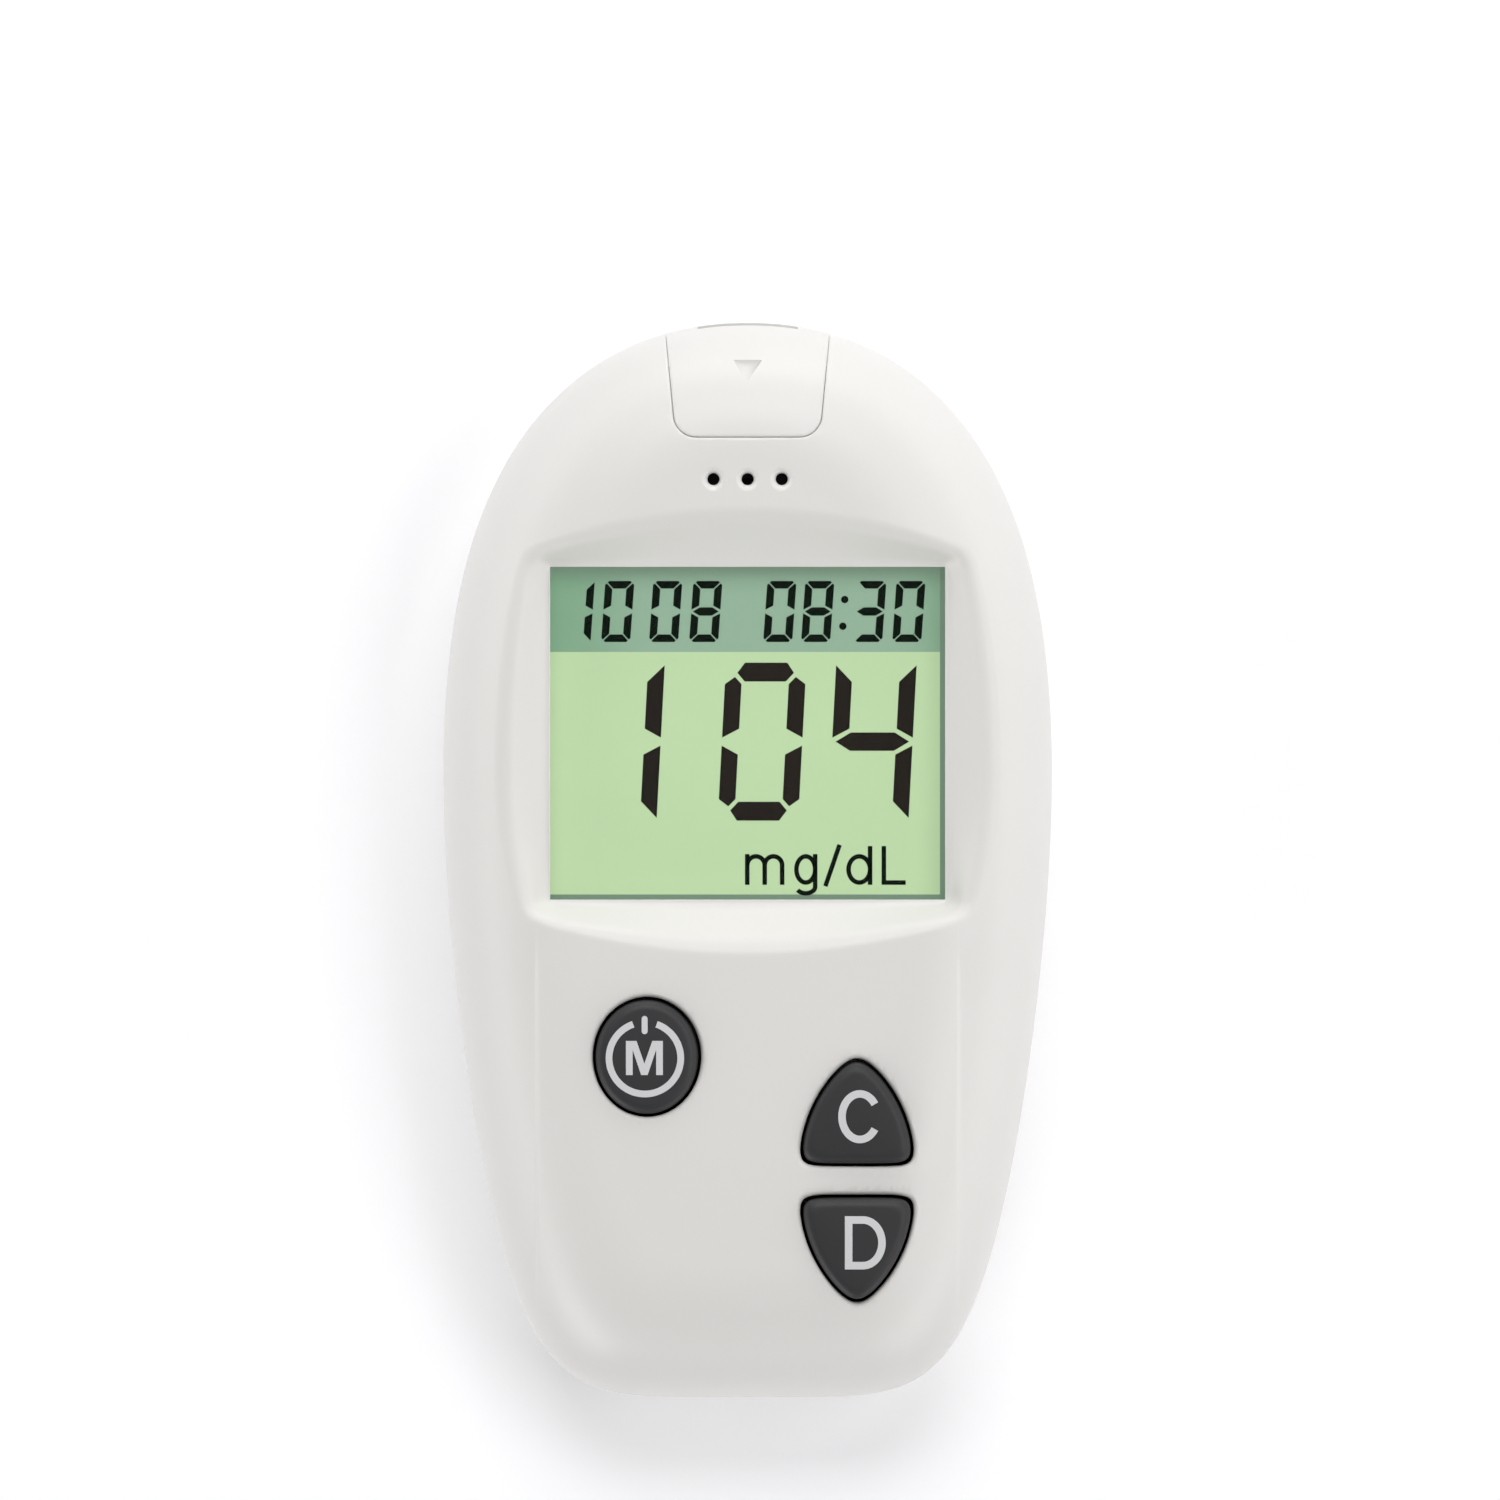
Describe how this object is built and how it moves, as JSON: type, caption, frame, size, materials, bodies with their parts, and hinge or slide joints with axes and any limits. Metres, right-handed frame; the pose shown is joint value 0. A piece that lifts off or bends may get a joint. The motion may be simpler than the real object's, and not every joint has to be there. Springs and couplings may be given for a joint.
{
  "type": "blood glucose meter",
  "caption": "Egg-shaped hand-held blood glucose meter with a dished display window, an oval key and triangular keys, a strip port cover and a slide-off battery door.",
  "frame": {"origin": "on the flat back, under the middle of the case's length and width", "axes": "+Z out of the display, +Y towards the strip port end, +X to the right of the display"},
  "size_m": [0.051, 0.0899, 0.0191],
  "materials": {
    "white_abs": "satin moulded ABS",
    "key_rubber": "satin silicone rubber",
    "mat_rubber": "matt silicone rubber",
    "carbon": "matt carbon-filled silicone",
    "clear_lens": "clear acrylic",
    "cell_film": "green polarizing film",
    "cell_glass": "liquid crystal cell glass",
    "film_silver": "satin reflector film",
    "frame_plastic": "natural ABS",
    "zebra_rubber": "layered silicone",
    "board": "green solder mask on glass epoxy",
    "gold": "gold plate on copper",
    "dark_plastic": "black moulding compound",
    "steel": "nickel-plated steel",
    "ceramic_parts": "fired ceramic with tinned ends"
  },
  "bodies": {
    "case": {"front_cover": "white_abs", "back_cover": "white_abs", "case_screws": "steel", "display_lens": "clear_lens", "lcd_polarizer": "cell_film", "lcd_glass": "cell_glass", "lcd_reflector": "film_silver", "lcd_frame": "frame_plastic", "zebra_strips": "zebra_rubber", "circuit_board": "board", "keypad_mat": "mat_rubber", "memory_skirt": "mat_rubber", "up_skirt": "mat_rubber", "down_skirt": "mat_rubber", "key_contacts": "gold", "strip_connector": "dark_plastic", "strip_contacts": "gold", "buzzer": "dark_plastic", "microcontroller": "dark_plastic", "crystal": "steel", "board_components": "ceramic_parts", "battery_holder": "dark_plastic", "positive_contact": "steel", "negative_contact": "steel", "coin_cell": "steel"},
    "port_cover": {"strip_port_cover": "white_abs"},
    "door": {"battery_door": "white_abs"},
    "memory_key": {"memory_button": "key_rubber", "memory_pill": "carbon"},
    "up_key": {"up_button": "key_rubber", "up_pill": "carbon"},
    "down_key": {"down_button": "key_rubber", "down_pill": "carbon"}
  },
  "joints": [
    {"name": "memory_press", "type": "slide", "parent": "case", "child": "memory_key", "axis": [0, 0, -1], "range_m": [0, 0.0009], "stiffness_N_per_m": 1500, "deforming": ["memory_skirt"]},
    {"name": "up_press", "type": "slide", "parent": "case", "child": "up_key", "axis": [0, 0, -1], "range_m": [0, 0.0009], "stiffness_N_per_m": 1500, "deforming": ["up_skirt"]},
    {"name": "down_press", "type": "slide", "parent": "case", "child": "down_key", "axis": [0, 0, -1], "range_m": [0, 0.0009], "stiffness_N_per_m": 1500, "deforming": ["down_skirt"]},
    {"name": "port_cover_slide", "type": "slide", "parent": "case", "child": "port_cover", "axis": [0, 1, 0], "range_m": [0, 0.014]},
    {"name": "door_slide", "type": "slide", "parent": "case", "child": "door", "axis": [0, -1, 0], "range_m": [0, 0.042]}
  ]
}
